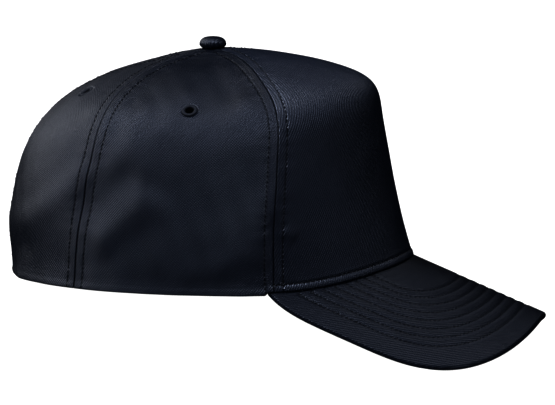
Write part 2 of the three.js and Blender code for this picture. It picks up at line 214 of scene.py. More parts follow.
class StitchSizes(PropertyGroup):
    """Sizes of the sewing."""

    pitch: length("Pitch", "Length of one stitch and its space", 0.0024)
    thread: length("Thread", "Thickness of the thread", 0.00046)
    gauge: length("Gauge", "Distance between the two needles beside a seam", 0.0095)
    hem_row: length("Hem row", "Height of the hem's stitching", 0.0037)
    seam_depth: length("Seam depth", "How far the cloth turns in at a seam", 0.00028)
    edge_lift: length("Edge lift", "How far the side panels stand over the front panel", 0.00006)
    row_dip: length("Row dip", "How far a row pulls the crown's cloth in", 0.0001)
    row_width: length("Row width", "Half width of that dip", 0.0007)
    pucker: length("Pucker", "Height of the puckers beside a row", 0.00013)
    pucker_length: length("Pucker length", "Distance between puckers", 0.0081)
    pucker_wander: length("Pucker wander", "Length over which that distance wanders", 0.037)


class FittingSizes(PropertyGroup):
    """Sizes of the button and the eyelets."""

    button_diameter: length("Button diameter", "Across the covered button", 0.0135)
    button_height: length("Button height", "Height of the covered button", 0.0056)
    button_stem: length("Stem diameter", "Across the stem through the crown", 0.005)
    button_sink: length("Button sink", "How deep the button sits in the cloth", 0.0006)
    stem_length: length("Stem length", "From the button down to its flat back", 0.0045)
    button_back: length("Back diameter", "Across the flat back inside", 0.011)
    button_back_thickness: length("Back thickness", "Thickness of the flat back", 0.0012)
    eyelet_diameter: length("Eyelet diameter", "Across the sewn ring", 0.0082)
    eyelet_hole: length("Eyelet hole", "Across the vent hole", 0.004)
    eyelet_thickness: length("Eyelet thickness", "Thickness of the sewn ring", 0.0024)
    eyelet_cover: length("Eyelet cover", "How far the ring covers the hole's edge", 0.0006)
    eyelet_stitches: IntProperty(
        name="Eyelet stitches", description="Stitches round one eyelet", default=34, min=8
    )


class ClothColours(PropertyGroup):
    """Colours as sRGB hex values."""

    cloth: StringProperty(name="Cloth", description="Navy cotton twill", default="#080b13")
    cloth_worn: StringProperty(name="Raised yarns", description="Yarns that catch light", default="#0f141f")
    # Painted shade: this colour darkens the needle holes and the seam lines, where shade falls in the cloth.
    hole_shade: StringProperty(name="Holes", description="Needle holes in shadow", default="#020203")
    # Painted shade: the thread colour is darker than the cloth, so that the topstitching reads as dark
    # dashes of shade.
    thread: StringProperty(name="Thread", description="Sewing thread", default="#030408")
    gloss: StringProperty(name="Gloss", description="Light that yarns reflect", default="#d3dffc")
    floor: StringProperty(name="Floor", description="Pale paper floor", default="#f2f2f2")


class RestPose(PropertyGroup):
    """How the cap stands on its peak and back rim."""

    pitch: angle("Pitch", "How far the cap is tipped back", 9.868406)
    shift: length("Shift", "Middle of the rim behind the middle of the footprint", 0.030654)
    lift: length("Lift", "Height of the level rim's middle above the floor", 0.014760)


class CapSettings(PropertyGroup):
    """All settings of the cap."""

    crown: PointerProperty(type=CrownSizes)
    peak: PointerProperty(type=PeakSizes)
    stitch: PointerProperty(type=StitchSizes)
    fitting: PointerProperty(type=FittingSizes)
    colour: PointerProperty(type=ClothColours)
    rest: PointerProperty(type=RestPose)


# Shape of the cap while its rim is level, in metres


def smooth(x):
    """Eases from 0 to 1."""
    s = np.clip(x, 0, 1)
    return s * s * (3 - 2 * s)


def bell(x):
    """A soft bump, 1 at 0."""
    return np.exp(-np.square(x))


def section(name, down):
    """A crown section column as a smooth curve that reaches both of its end rows."""
    column = np.array([row[CROWN_COLUMNS.index(name)] for row in CROWN_SECTIONS], float)
    ends = np.concatenate(([2 * column[0] - column[1]], column, [2 * column[-1] - column[-2]]))
    s = np.clip(down, 0, 1) * (len(column) - 1)
    i = np.minimum(s.astype(int), len(column) - 2)
    f = s - i
    g = 1 - f
    near = g**3 * ends[i] + (3 * f**3 - 6 * f**2 + 4) * ends[i + 1]
    far = (-3 * f**3 + 3 * f**2 + 3 * f + 1) * ends[i + 2] + f**3 * ends[i + 3]
    return (near + far) / 6


def reach(cap, phi):
    """Reach of the rim's oval in a direction."""
    return 1 / np.hypot(np.cos(phi) / cap.crown.half_length, np.sin(phi) / cap.crown.half_width)


def arch_drop(cap, y):
    """How far the bent peak has dropped at a distance from its middle."""
    r = cap.peak.arch_radius
    return r - np.sqrt(np.maximum(r * r - y * y, 0))


def rim_floor(cap, x, y, easing):
    """Lowest that the crown's cloth may reach: the peak in front, easing over some degrees past its
    corners to a rim that rises slowly behind."""
    peak = cap.peak
    top = peak.root_height - tan(peak.slope) * (x - cap.crown.half_length)
    top = top - arch_drop(cap, y) / cos(peak.slope)
    over = smooth((peak.corner - np.abs(np.arctan2(y, x))) / radians(easing) + 1.15)
    level = cap.crown.rim_rise * np.clip((0.25 - x / cap.crown.half_length) / 1.25, 0, 1)
    return level + over * np.maximum(top + peak.gap - level, 0)


def bare_crown(cap, phi, down):
    """Plain outer surface of the crown."""
    phi, down = np.broadcast_arrays(np.asarray(phi, float), np.asarray(down, float))
    c = np.cos(phi)
    s = np.sin(phi)
    out, up = (
        c * c * np.where(c > 0, section(f"front_{way}", down), section(f"back_{way}", down))
        + s * s * section(f"side_{way}", down)
        for way in ("out", "up")
    )
    far = reach(cap, phi)
    base = rim_floor(cap, far * c, far * s, WALL_EASING)
    tucked = (base - rim_floor(cap, far * c, far * s, RIM_EASING)) * np.maximum(1 - up, 0) ** 12
    r = out * far
    return np.stack([r * c, r * s, base + up * (cap.crown.height - base) - tucked], -1)


def unit(v):
    """Vectors scaled to length 1."""
    return v / np.maximum(np.linalg.norm(v, axis=-1, keepdims=True), 1e-12)


def crown_normal(cap, phi, down):
    """Outward direction of the plain crown."""
    step = 0.004
    around = bare_crown(cap, phi + step, down) - bare_crown(cap, phi - step, down)
    low = np.maximum(down - step, step)
    fall = bare_crown(cap, phi, np.minimum(down + step, 1)) - bare_crown(cap, phi, low)
    return unit(np.cross(fall, around))


def ridge_relief(cap, phi, down):
    """Height of the ridges that the panels form at their seams."""
    total = np.zeros(np.broadcast(phi, down).shape)
    for seam, height, faded in SEAM_RIDGES:
        away = np.abs(np.abs(phi) - np.radians(section(seam, down))) / cap.crown.ridge_span
        tent = np.square(np.maximum(1 - away, 0))
        total = total + height * tent * smooth(down / 0.25) * smooth((faded - down) / 0.3)
    return cap.crown.ridge_height * total


def fold_relief(cap, phi, down):
    """Height of the seam ridges and the pressed folds over the plain crown."""
    per_degree = pi * cap.crown.half_width / 180
    chart = cap.crown.cloth_down
    at = np.stack([np.degrees(np.abs(phi)) * per_degree, down * chart], -1)
    total = ridge_relief(cap, phi, down)
    for from_deg, from_down, to_deg, to_down, height, width in FOLDS:
        start = np.array([from_deg * per_degree, from_down * chart])
        line = np.array([to_deg * per_degree, to_down * chart]) - start
        offset = at - start
        along = offset @ line / (line @ line)
        across = np.abs(offset[..., 0] * line[1] - offset[..., 1] * line[0]) / np.linalg.norm(line)
        fade = smooth(along / 0.35 + 0.5) * smooth((1 - along) / 0.35 + 0.5)
        total = total + cap.crown.fold_height * height * bell(across / (cap.crown.fold_width * width)) * fade
    return total


def drift(x, y, size, seed):
    """Slow uneven waves between about -1 and 1 over distances near size."""
    total = np.zeros(np.broadcast(x, y).shape)
    for k in range(6):
        turn = 2.399963 * (k + seed)
        wave = size * (0.7 + 0.21 * ((k * 5 + seed) % 4))
        total = total + np.sin((x * cos(turn) + y * sin(turn)) * 2 * pi / wave + 1.7 * k * k + seed)
    return total / 3


def bend_peak(cap, flat, depth):
    """Places on the flat peak pattern, bent to its arch and laid at its slope."""
    peak = cap.peak
    turn = flat[..., 0] / peak.arch_radius
    ahead = flat[..., 1]
    r = peak.arch_radius - depth
    drop = peak.arch_radius - r * np.cos(turn)
    x = cap.crown.half_length + ahead * cos(peak.slope) - drop * sin(peak.slope)
    z = peak.root_height - ahead * sin(peak.slope) - drop * cos(peak.slope)
    return np.stack([x, r * np.sin(turn), z], -1)


def flatten_peak(cap, x, y):
    """The flat pattern place of a plan point on the peak."""
    across = cap.peak.arch_radius * np.arcsin(y / cap.peak.arch_radius)
    ahead = (x - cap.crown.half_length + arch_drop(cap, y) * sin(cap.peak.slope)) / cos(cap.peak.slope)
    return across, ahead


def peak_inner(cap, s, inset):
    """Inner edge of the flat pattern, inset from the crown's outside; s runs from -1 to 1."""
    phi = s * cap.peak.corner
    r = reach(cap, phi) - inset
    return flatten_peak(cap, r * np.cos(phi), r * np.sin(phi))


def peak_line(cap, s, inset):
    """The outer edge of the flat pattern, or a row inset from it; s runs from -1 to 1."""
    peak = cap.peak
    k = np.abs(s)
    turn = np.minimum(k / peak.front_share, 1) * pi / 2
    power = 2 / (peak.squareness - 11 * inset)
    across = (peak.half_arc - inset) * np.sin(turn) ** power
    ahead = (peak.length - inset) * np.maximum(np.cos(turn), 0) ** power
    back = np.maximum(k - peak.front_share, 0) / (1 - peak.front_share)
    end_across, end_ahead = peak_inner(cap, np.array(1.0), 0)
    across = across - (peak.half_arc - end_across) * back**5
    return np.sign(s) * across, ahead + end_ahead * back


def stand(cap, points):
    """From the level cap to the cap at rest, tipped back on its peak and back rim."""
    c = cos(cap.rest.pitch)
    s = sin(cap.rest.pitch)
    x = points[..., 0]
    z = points[..., 2]
    out = np.empty_like(points)
    out[..., 0] = x * c - z * s - cap.rest.shift
    out[..., 1] = points[..., 1]
    out[..., 2] = np.maximum(x * s + z * c + cap.rest.lift, 0)
    return out


# Meshes


def add_mesh(name, points, faces, material, places=None):
    """A smooth mesh object in the scene, with a UV place for each vertex in each map given."""
    mesh = bpy.data.meshes.new(name)
    mesh.from_pydata(points.reshape(-1, 3).tolist(), [], faces)
    corners = np.empty(len(mesh.loops), int)
    mesh.loops.foreach_get("vertex_index", corners)
    for key, uv in (places or {}).items():
        layer = mesh.uv_layers.new(name=key)
        layer.data.foreach_set("uv", uv.reshape(-1, 2)[corners].astype(np.float32).ravel())
    mesh.validate()
    mesh.shade_smooth()
    mesh.materials.append(material)
    piece = bpy.data.objects.new(name, mesh)
    bpy.context.scene.collection.objects.link(piece)
    return piece


def ring_faces(rows, size, closed):
    """Quads between rows of closed rings of points, with strip ends where the rows aren't closed."""
    count = rows if closed else rows - 1
    i, j = np.meshgrid(np.arange(count), np.arange(size), indexing="ij")
    a = i * size + j
    b = (i + 1) % rows * size + j
    c = (i + 1) % rows * size + (j + 1) % size
    d = i * size + (j + 1) % size
    faces = np.stack([a, b, c, d], -1).reshape(-1, 4).tolist()
    if not closed:
        last = (rows - 1) * size
        for k in range((size - 1) // 2):
            far = size - 1 - k
            end = list(dict.fromkeys((k, k + 1, far - 1, far)))
            faces.append(end)
            faces.append([last + n for n in reversed(end)])
    return faces


def shell(name, outer, inner, places, material):
    """A closed cloth shell between an outer and an inner grid of the same size."""
    loops = np.concatenate([outer, inner[:, ::-1]], axis=1)
    places = {key: np.concatenate([uv, uv[:, ::-1]], axis=1) for key, uv in places.items()}
    return outward(add_mesh(name, loops, ring_faces(*loops.shape[:2], False), material, places))


def outward(piece):
    """Turns a closed mesh's faces outward."""
    solid = bmesh.new()
    solid.from_mesh(piece.data)
    if solid.calc_volume(signed=True) < 0:
        piece.data.flip_normals()
    solid.free()
    return piece


def unsewn(points):
    """The sewing map of cloth that has no stitches: far past any row."""
    return np.stack([np.ones(points.shape[:2]), np.zeros(points.shape[:2])], -1)


def gathered(count, ends, strength):
    """Shares from 0 to 1, closer together near both ends."""
    s = np.linspace(0, 1, 2001)
    density = 1 + strength * (bell(s / ends) + bell((1 - s) / ends))
    run = np.concatenate(([0], np.cumsum((density[1:] + density[:-1]) / 2)))
    return np.interp(np.linspace(0, run[-1], count), run, s)


def stitch_count(cap, run):
    """Stitches in a row of some length."""
    return max(int(run / cap.stitch.pitch), 1)


def stitches_run(cap, points):
    """How many stitches along a row each of its points lies."""
    run = run_lengths(points, 0)
    return run * stitch_count(cap, run[-1]) / run[-1]


def point_at(distance, run, points):
    """The point, or the direction, at a distance along a line."""
    return np.array([np.interp(distance, run, points[:, k]) for k in range(3)])


def run_lengths(points, axis):
    """Distance run along one axis of a grid of points."""
    steps = np.linalg.norm(np.diff(points, axis=axis), axis=-1)
    start = np.zeros_like(np.take(steps, [0], axis=axis))
    return np.concatenate([start, np.cumsum(steps, axis=axis)], axis=axis)


class PanelGrid:
    """One crown panel's cloth: where each point is, and how far it lies from the seams and the rim."""

    def __init__(self, cap, first_seam, second_seam, across, downward, softness, seed, lifts):
        self.cap = cap
        shares = gathered(across, 0.09, 2.2)[:, None]
        down = np.interp(np.linspace(0, 1, downward), [0, 0.9, 1], [0, 0.93, 1])
        low = self.first_down(first_seam, second_seam, shares[:, 0])
        self.down = low[:, None] + (1 - low[:, None]) * down[None, :]
        self.phi = first_seam(self.down) * (1 - shares) + second_seam(self.down) * shares
        self.bare = bare_crown(cap, self.phi, self.down)
        self.normal = crown_normal(cap, self.phi, self.down)
        run = run_lengths(self.bare, 0)
        self.from_first = run
        self.from_second = run[-1:] - run
        fall = run_lengths(self.bare, 1)
        self.above_rim = fall[:, -1:] - fall
        right = np.sign(self.phi[-1, -1] - self.phi[0, -1])
        self.uv = np.stack([right * (run - run[-1:] / 2), self.above_rim], -1)
        self.softness = softness
        self.seed = seed
        self.lifts = lifts
        self.outer = self.bare + self.normal * self.relief()[..., None]
        self.settle(self.outer)

    def first_down(self, first_seam, second_seam, shares):
        """Share of the way down at which the cloth starts, round the hole under the button."""
        top = np.zeros(1)
        phi = (first_seam(top) * (1 - shares) + second_seam(top) * shares)[:, None]
        trial = np.linspace(0, 0.3, 400)[None, :]
        spread = np.linalg.norm(bare_crown(self.cap, phi, trial)[..., :2], axis=-1)
        return np.array([np.interp(self.cap.crown.top_hole, row, trial[0]) for row in spread])

    def settle(self, points):
        """Keeps the cloth off the peak and off the level rim."""
        floor = rim_floor(self.cap, points[..., 0], points[..., 1], RIM_EASING)
        points[..., 2] = np.maximum(points[..., 2], floor)

    def hem_share(self):
        """1 at the rim, easing to 0 above the folded hem."""
        return smooth(1 - self.above_rim / self.cap.crown.hem_height)

    def relief(self):
        """How far the finished cloth stands off the plain crown."""
        cap = self.cap
        crown = cap.crown
        stitch = cap.stitch
        total = fold_relief(cap, self.phi, self.down)
        total = total + 0.6 * (crown.hem - crown.cloth) * self.hem_share()
        wide = self.from_first[-1:] * 0.42
        row = stitch.gauge / 2
        turn = self.above_rim * 2 * pi / stitch.pucker_length
        wave = np.sin(turn + 2.2 * np.sin(turn * stitch.pucker_length / stitch.pucker_wander))
        for distance, lift in zip((self.from_first, self.from_second), self.lifts):
            near = np.minimum(distance, wide)
            total = total - stitch.seam_depth * bell(near / 0.00035)
            total = total + lift * smooth(near / 0.0010 + 0.1) * smooth((row - near) / 0.0040 + 0.7)
            total = total - stitch.row_dip * bell((near - row) / stitch.row_width)
            beside = np.exp(-np.abs(near - row) / 0.0034) * smooth(near / 0.003)
            total = total + stitch.pucker * wave * beside
        lip = self.above_rim
        ahead = smooth((cap.peak.corner - np.abs(self.phi)) / 0.2)
        pull = 1.2 + 3.5 * ahead
        total = total - stitch.row_dip * pull * bell((lip - stitch.hem_row) / stitch.row_width)
        total = total + 0.00018 * ahead * bell((lip - 0.0016) / 0.0013)
        soft = self.softness * smooth(self.from_first / 0.012) * smooth(self.from_second / 0.012)
        x = self.uv[..., 0]
        y = self.uv[..., 1]
        total = total + crown.sag * soft * drift(x, y, crown.sag_length, self.seed)
        return total + crown.ripple * soft * drift(x, y, crown.ripple_length, self.seed + 3)

    def inner(self):
        """The cloth's inside face."""
        crown = self.cap.crown
        thick = crown.cloth + 0.4 * (crown.hem - crown.cloth) * self.hem_share()
        points = self.bare + self.normal * (fold_relief(self.cap, self.phi, self.down) - thick)[..., None]
        self.settle(points)
        return points

    def sewing(self):
        """For each point, how far past the nearest row of stitches it is, and how many stitches along.
        A seam counts as a row without spaces, so that it shows as one dark line of painted shade."""
        stitch = self.cap.stitch
        row = stitch.gauge / 2
        rows = []
        for distance, second in ((self.from_first, False), (self.from_second, True)):
            place = stitches_run(self.cap, self.seam_path(row, second)[0])
            skipped = self.phi.shape[1] - len(place)
            away = distance - row + np.where(np.arange(self.phi.shape[1]) < skipped, 1.0, 0)
            rows.append((away, np.concatenate([np.zeros(skipped), place])))
        rows.append((1.5 * np.minimum(self.from_first, self.from_second), 0))
        behind = np.where(np.abs(self.phi) < self.cap.peak.corner, 0, 1.0)
        place = stitches_run(self.cap, self.rim_path(stitch.hem_row)[0])
        rows.append((self.above_rim - stitch.hem_row + behind, place[:, None]))
        best = np.full(self.phi.shape, 1.0)
        along = np.zeros(self.phi.shape)
        for away, place in rows:
            nearer = np.abs(away) < np.abs(best)
            along = np.where(nearer, place, along)
            best = np.where(nearer, away, best)
        return np.stack([best, along], -1)

    def seam_path(self, distance, from_second):
        """Points and normals on the cloth at a distance from one of its seams, from top to rim."""
        run = self.from_second if from_second else self.from_first
        order = slice(None, None, -1 if from_second else 1)
        clear = self.from_first[-1] > 2.3 * distance
        lines = (part[order][:, clear].swapaxes(0, 1) for part in (run, self.outer, self.normal))
        return self.lines_at(distance, *lines)

    def rim_path(self, height):
        """Points and normals on the cloth at a height above the rim, from seam to seam."""
        return self.lines_at(height, *(part[:, ::-1] for part in (self.above_rim, self.outer, self.normal)))

    @staticmethod
    def lines_at(distance, runs, points, normals):
        """Points and normals at a distance along each of some grid lines."""
        found = [
            np.array([point_at(distance, run, line) for run, line in zip(runs, lines)])
            for lines in (points, normals)
        ]
        return found[0], unit(found[1])


def seam_line(column, side):
    """The direction of a seam as a function of the way down. Without a column, the back's middle."""
    if column:
        return lambda down: side * np.radians(section(column, down))
    return lambda down: np.full(np.shape(down), side * pi)


def panel_grids(cap):
    """The five panels' cloth, by node name."""
    coarse = 1.0
    down = int(170 * coarse)
    edge = cap.stitch.edge_lift
    front_seams = seam_line("front_seam", -1), seam_line("front_seam", 1)
    grids = {"front_panel": PanelGrid(cap, *front_seams, int(210 * coarse), down, 0.35, 2, (-edge, -edge))}
    for word, side, seed in (("right", -1, 5), ("left", 1, 11)):
        front, back, middle = (seam_line(column, side) for column in ("front_seam", "back_seam", None))
        wide = int(130 * coarse)
        lifts = (edge, 0.5 * edge)
        grids[f"side_panel_{word}"] = PanelGrid(cap, front, back, wide, down, 1.0, seed, lifts)
        wide = int(100 * coarse)
        grids[f"back_panel_{word}"] = PanelGrid(cap, back, middle, wide, down, 0.9, seed + 2, (0, 0))
    return grids


def stitch_template(cap):
    """One stitch along X, raised at its middle, with both ends sunk into the cloth."""
    r = cap.stitch.thread / 2
    half = cap.stitch.pitch * 0.36
    rings = ((-1.0, -1.2, 0.5), (-0.7, 0.1, 0.9), (0.0, 0.5, 1.0), (0.7, 0.1, 0.9), (1.0, -1.2, 0.5))
    points = []
    for along, high, fat in rings:
        for k in range(6):
            turn = 2 * pi * k / 6
            points.append((along * half, r * fat * cos(turn), r * (high + fat * sin(turn))))
    return np.array(points), [face[::-1] for face in ring_faces(len(rings), 6, False)]


def stitches_along(cap, paths):
    """Vertices and faces of stitches laid end to end along paths of points with normals."""
    template, template_faces = stitch_template(cap)
    places = []
    faces = []
    count = 0
    for points, normals in paths:
        run = run_lengths(points, 0)
        number = stitch_count(cap, run[-1])
        half = cap.stitch.pitch / 2
        for middle in (np.arange(number) + 0.5) * run[-1] / number:
            before, centre, after = (point_at(middle + d, run, points) for d in (-half, 0, half))
            forward = unit(after - before)
            sideways = unit(np.cross(point_at(middle, run, normals), forward))
            up = np.cross(forward, sideways)
            places.append(centre + template @ np.stack([forward, sideways, up]))
            faces.extend([[v + count for v in face] for face in template_faces])
            count += len(template)
    return np.concatenate(places), faces


# Materials


def linear(hex_value):
    """An sRGB hex colour as linear RGBA."""
    parts = [int(hex_value.lstrip("#")[i : i + 2], 16) / 255 for i in (0, 2, 4)]
    return [p / 12.92 if p <= 0.04045 else ((p + 0.055) / 1.055) ** 2.4 for p in parts] + [1.0]


def add_node(material, kind, settings=None, values=None, links=None):
    """Adds a shader node with its settings, its socket values, and the nodes or sockets that feed it."""
    tree = material.node_tree
    made = tree.nodes.new(f"ShaderNode{kind}")
    for key, value in (settings or {}).items():
        setattr(made, key, value)
    for key, value in (values or {}).items():
        made.inputs[key].default_value = value
    for key, source in (links or {}).items():
        tree.links.new(getattr(source, "outputs", [source])[0], made.inputs[key])
    return made


def new_material(name):
    """An empty node material."""
    material = bpy.data.materials.new(name)
    material.use_nodes = True
    material.node_tree.nodes.clear()
    return material


def finish_material(material, shader):
    """Sends a shader to the material's surface."""
    add_node(material, "OutputMaterial", links={"Surface": shader})
    return material


def band_scale(millimetres):
    """Wave texture scale that gives one band for each so many millimetres."""
    return 2 * pi / 20 / (millimetres / 1000)


def noise_scale(millimetres):
    """Noise texture scale that gives one lump for each so many millimetres."""
    return 1000 / millimetres


def cotton_twill(cap, name):
    """Cotton twill, woven and piece dyed navy: fine diagonal ribs, near black where it turns from the
    light and with the soft bluish gloss of mercerised yarn where it faces it. Real ribs are about
    0.6 mm apart; they are drawn 1.05 mm apart so that they show in the render."""
    material = new_material(name)
    places = add_node(material, "UVMap", {"uv_map": "cloth"})
    slant = {"Rotation": (0, 0, radians(TWILL_SLANT))}
    turned = {"Vector": add_node(material, "Mapping", values=slant, links={"Vector": places})}
    ribs, yarns = (
        add_node(
            material, "TexWave", {"bands_direction": way, "wave_profile": "SIN"},
            {"Scale": band_scale(apart), "Distortion": bend, "Detail": detail, "Detail Scale": fine}, turned,
        )
        for way, apart, bend, detail, fine in (("X", 1.05, 0.35, 2.0, 2.2), ("Y", 0.9, 2.5, 1.0, 3.0))
    )
    slubs, patches = (
        add_node(
            material, "TexNoise",
            values={"Scale": noise_scale(size), "Detail": detail, "Roughness": rough},
            links={"Vector": places},
        )
        for size, detail, rough in ((0.526316, 2.0, 0.6), (26.3158, 3.0, 0.55))
    )
    layers = [ribs.outputs["Fac"]]
    for texture, amount in ((yarns.outputs["Fac"], 0.35), (slubs, 1.5), (patches, 0.8)):
        sources = {0: texture, 2: layers[-1]}
        layers.append(add_node(material, "Math", {"operation": "MULTIPLY_ADD"}, {1: amount}, sources))
    weave, uneven = layers[-2:]
    hole_shade = needle_holes(cap, material)
    sources = {0: hole_shade, 2: weave}
    pierced = add_node(material, "Math", {"operation": "MULTIPLY_ADD"}, {1: -1.4}, sources)
    bump = add_node(
        material, "Bump", values={"Strength": 0.75, "Distance": 0.00018}, links={"Height": pierced}
    )
    spread = add_node(
        material, "MapRange", values={"From Min": 0.95, "From Max": 2.55}, links={"Value": uneven}
    )
    colour = add_node(
        material, "Mix", {"data_type": "RGBA"},
        {6: linear(cap.colour.cloth), 7: linear(cap.colour.cloth_worn)}, {0: spread},
    )
    # Painted shade: the cloth turns to the hole colour in the needle holes and along the seams.
    shaded = add_node(
        material, "Mix", {"data_type": "RGBA"}, {7: linear(cap.colour.hole_shade)},
        {0: hole_shade, 6: colour.outputs[2]},
    )
    shader = add_node(
        material, "BsdfPrincipled",
        values={
            "Roughness": 0.31, "Metallic": 0.0, "IOR": 1.5, "Specular IOR Level": 0.30,
            "Specular Tint": linear(cap.colour.gloss),
        },
        links={"Base Color": shaded.outputs[2], "Normal": bump},
    )
    return finish_material(material, shader)


def needle_holes(cap, material):
    """1 at each hole where the needle drew the thread in, and along each seam, fading to 0 round it. There
    the cloth is darkened as painted shade and its bump is pressed in.
    """
    sewn = add_node(material, "UVMap", {"uv_map": "sewing"})
    parts = add_node(material, "SeparateXYZ", links={"Vector": sewn})
    step = add_node(material, "Math", {"operation": "PINGPONG"}, {1: 0.5}, {0: parts.outputs["Y"]})
    across = 1 / (1.1 * cap.stitch.thread)
    ahead = cap.stitch.pitch / (1.3 * cap.stitch.thread)
    squares = []
    for source, scale in ((parts.outputs["X"], across), (step, ahead)):
        scaled = add_node(material, "Math", {"operation": "MULTIPLY"}, {1: scale}, {0: source})
        squares.append(add_node(material, "Math", {"operation": "POWER"}, {1: 2.0}, {0: scaled}))
    away = add_node(material, "Math", {"operation": "ADD"}, links=dict(enumerate(squares)))
    faded = add_node(material, "Math", {"operation": "MULTIPLY"}, {1: -1.0}, {0: away})
    return add_node(material, "Math", {"operation": "EXPONENT"}, links={0: faded})


def spun_thread(cap, name, colour, gloss):
    """Spun polyester sewing thread, two ply and dyed to the cloth; the topstitching's is drawn darker, as
    painted shade. Matt where it is pulled down into the cloth, so that a row shows as fine dark dashes, and
    glossier where it is sewn close."""
    material = new_material(name)
    places = add_node(material, "TexCoord")
    ply = add_node(
        material, "TexNoise", values={"Scale": noise_scale(0.384615), "Detail": 2.0},
        links={"Vector": places.outputs["Object"]},
    )
    bump = add_node(material, "Bump", values={"Strength": 0.5, "Distance": 0.0001}, links={"Height": ply})
    shader = add_node(
        material, "BsdfPrincipled",
        values={
            "Base Color": linear(colour), "Roughness": 0.55, "Metallic": 0.0, "IOR": 1.5,
            "Specular IOR Level": gloss, "Specular Tint": linear(cap.colour.gloss),
        },
        links={"Normal": bump},
    )
    return finish_material(material, shader)


def paper(cap, name):
    """Seamless background paper, matt and plain, under and behind the cap."""
    material = new_material(name)
    shader = add_node(
        material, "BsdfPrincipled",
        values={"Base Color": linear(cap.colour.floor), "Roughness": 0.95, "Specular IOR Level": 0.1},
    )
    return finish_material(material, shader)


def material_named(cap, name, make, *extra):
    """A material made once and used by every piece of that finish."""
    return bpy.data.materials.get(name) or make(cap, name, *extra)


def navy_twill(cap):
    """The crown's cloth, which covers the peak and the button too."""
    return material_named(cap, "cotton twill, woven, navy", cotton_twill)


def lit_with(part, piece):
    """Puts a piece in the collection that a part's own lights fall on."""
    pieces = bpy.data.collections.get(part)
    if not pieces:
        pieces = bpy.data.collections.new(part)
        bpy.context.scene.collection.children.link(pieces)
    pieces.objects.link(piece)
    return pieces


def dress(piece, slot, *nodes):
    """Fixes a piece to the cap, puts it with the pieces that its part's lights fall on, and puts it in place
    of the plain solids.
    """
    part = piece.name.split("_")[0]
    lit_with(part if part in ("front", "peak") else "crown", piece)
    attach(piece, "root")
    if nodes:
        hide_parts(*nodes)
    return piece


GRIDS = {}


def crown_cloth(cap):
    """The panels' grids, worked out once."""
    if not GRIDS:
        GRIDS.update(panel_grids(cap))
    return GRIDS


def pierce(cap, piece, name):
    """Opens the vent hole that an eyelet is sewn round."""
    for eyelet, degrees, down in EYELETS:
        if eyelet.split("_")[1] == name.split("_")[0] and eyelet.endswith(name.split("_")[-1]):
            matrix = eyelet_place(cap, degrees, down)
            radius = cap.fitting.eyelet_diameter / 2 - cap.fitting.eyelet_cover
            bore_through(piece.data, matrix, radius, 2.5 * cap.fitting.eyelet_thickness)


def bore_through(mesh, matrix, radius, depth):
    """Cuts out the vertices inside a hole, draws the next ring onto its edge and joins the two faces."""
    local = matrix.inverted()
    sheet = bmesh.new()
    sheet.from_mesh(mesh)
    places = [(v, local @ v.co) for v in sheet.verts]
    gone = [v for v, p in places if p.xy.length < radius and abs(p.z) < depth]
    bmesh.ops.delete(sheet, geom=gone, context="VERTS")
    rims = [e for e in sheet.edges if e.is_boundary]
    for v in {v for e in rims for v in e.verts}:
        p = local @ v.co
        p.xy *= radius / max(p.xy.length, 1e-9)
        v.co = matrix @ p
    bmesh.ops.bridge_loops(sheet, edges=rims)
    sheet.to_mesh(mesh)
    sheet.free()
    mesh.shade_smooth()


def eyelet_place(cap, degrees, down):
    """Where an eyelet sits in the crown's wall, with +Z out of the cloth."""
    phi = np.array(radians(degrees))
    down = np.array(down, float)
    normal = crown_normal(cap, phi, down)
    centre = bare_crown(cap, phi, down) + normal * (fold_relief(cap, phi, down) - cap.crown.cloth / 2)
    ends = stand(cap, np.stack([centre, centre + normal * 0.01]))
    axis = Vector(ends[1] - ends[0]).normalized()
    return Matrix.Translation(Vector(ends[0])) @ axis.to_track_quat("Z", "Y").to_matrix().to_4x4()


def cap_settings():
    """The cap's settings in the open scene."""
    return bpy.context.scene.five_panel_cap


class CAP_OT_panels(Operator):
    """Sews the five cloth panels of the crown, with turned seams, hem and folds"""

    bl_idname = "cap.panels"
    bl_label = "Crown panels"

    def execute(self, context):
        cap = cap_settings()
        twill = navy_twill(cap)
        for name, grid in crown_cloth(cap).items():
            places = {"cloth": grid.uv, "sewing": grid.sewing()}
            piece = shell(f"{name}_cloth", stand(cap, grid.outer), stand(cap, grid.inner()), places, twill)
            if name != "front_panel":
                pierce(cap, piece, name)
            dress(piece, "cotton_twill", name)
        return {"FINISHED"}


class CAP_OT_peak(Operator):
    """Bends the stiff peak, covered in twill and quilted by its rows of stitching"""

    bl_idname = "cap.peak"
    bl_label = "Peak"

    def execute(self, context):
        cap = cap_settings()
        twill = navy_twill(cap)
        s = np.linspace(-1, 1, 341)
        t = 1 - gathered(150, 0.05, 2.0)[::-1]
        inner = np.stack(peak_inner(cap, s, cap.crown.hem), -1)
        outer = np.stack(peak_line(cap, s, 0), -1)
        width = np.linalg.norm(outer - inner, axis=-1)
        half = cap.peak.thickness / 2
        roll = np.minimum(half * 0.9 / width, 0.3)
        reach_out = t[None, :] * (1 - roll[:, None])
        flat = inner[:, None] + (outer - inner)[:, None] * reach_out[..., None]
        away, along = peak_sewing(cap, flat)
        quilt = peak_quilt(cap.peak, flat, away)
        turns = np.linspace(0, pi, 9)[1:-1]
        out_by = (1 - roll[:, None]) + roll[:, None] * np.sin(turns)[None, :]
        rolled = inner[:, None] + (outer - inner)[:, None] * out_by[..., None]
        edge = np.broadcast_to(half - half * np.cos(turns), rolled.shape[:2])
        under = cap.peak.thickness + 0.6 * quilt
        pattern = np.concatenate([flat, rolled, flat[:, ::-1]], axis=1)
        loops = bend_peak(cap, pattern, np.concatenate([-quilt, edge, under[:, ::-1]], axis=1))
        sewing = np.stack([away, along], -1)
        sewing = np.concatenate([sewing, unsewn(rolled), sewing[:, ::-1]], axis=1)
        places = {"cloth": pattern, "sewing": sewing}
        points = stand(cap, loops)
        faces = ring_faces(*points.shape[:2], False)
        piece = outward(add_mesh("peak_cover", points, faces, twill, places))
        dress(piece, "cotton_twill", "peak")
        return {"FINISHED"}


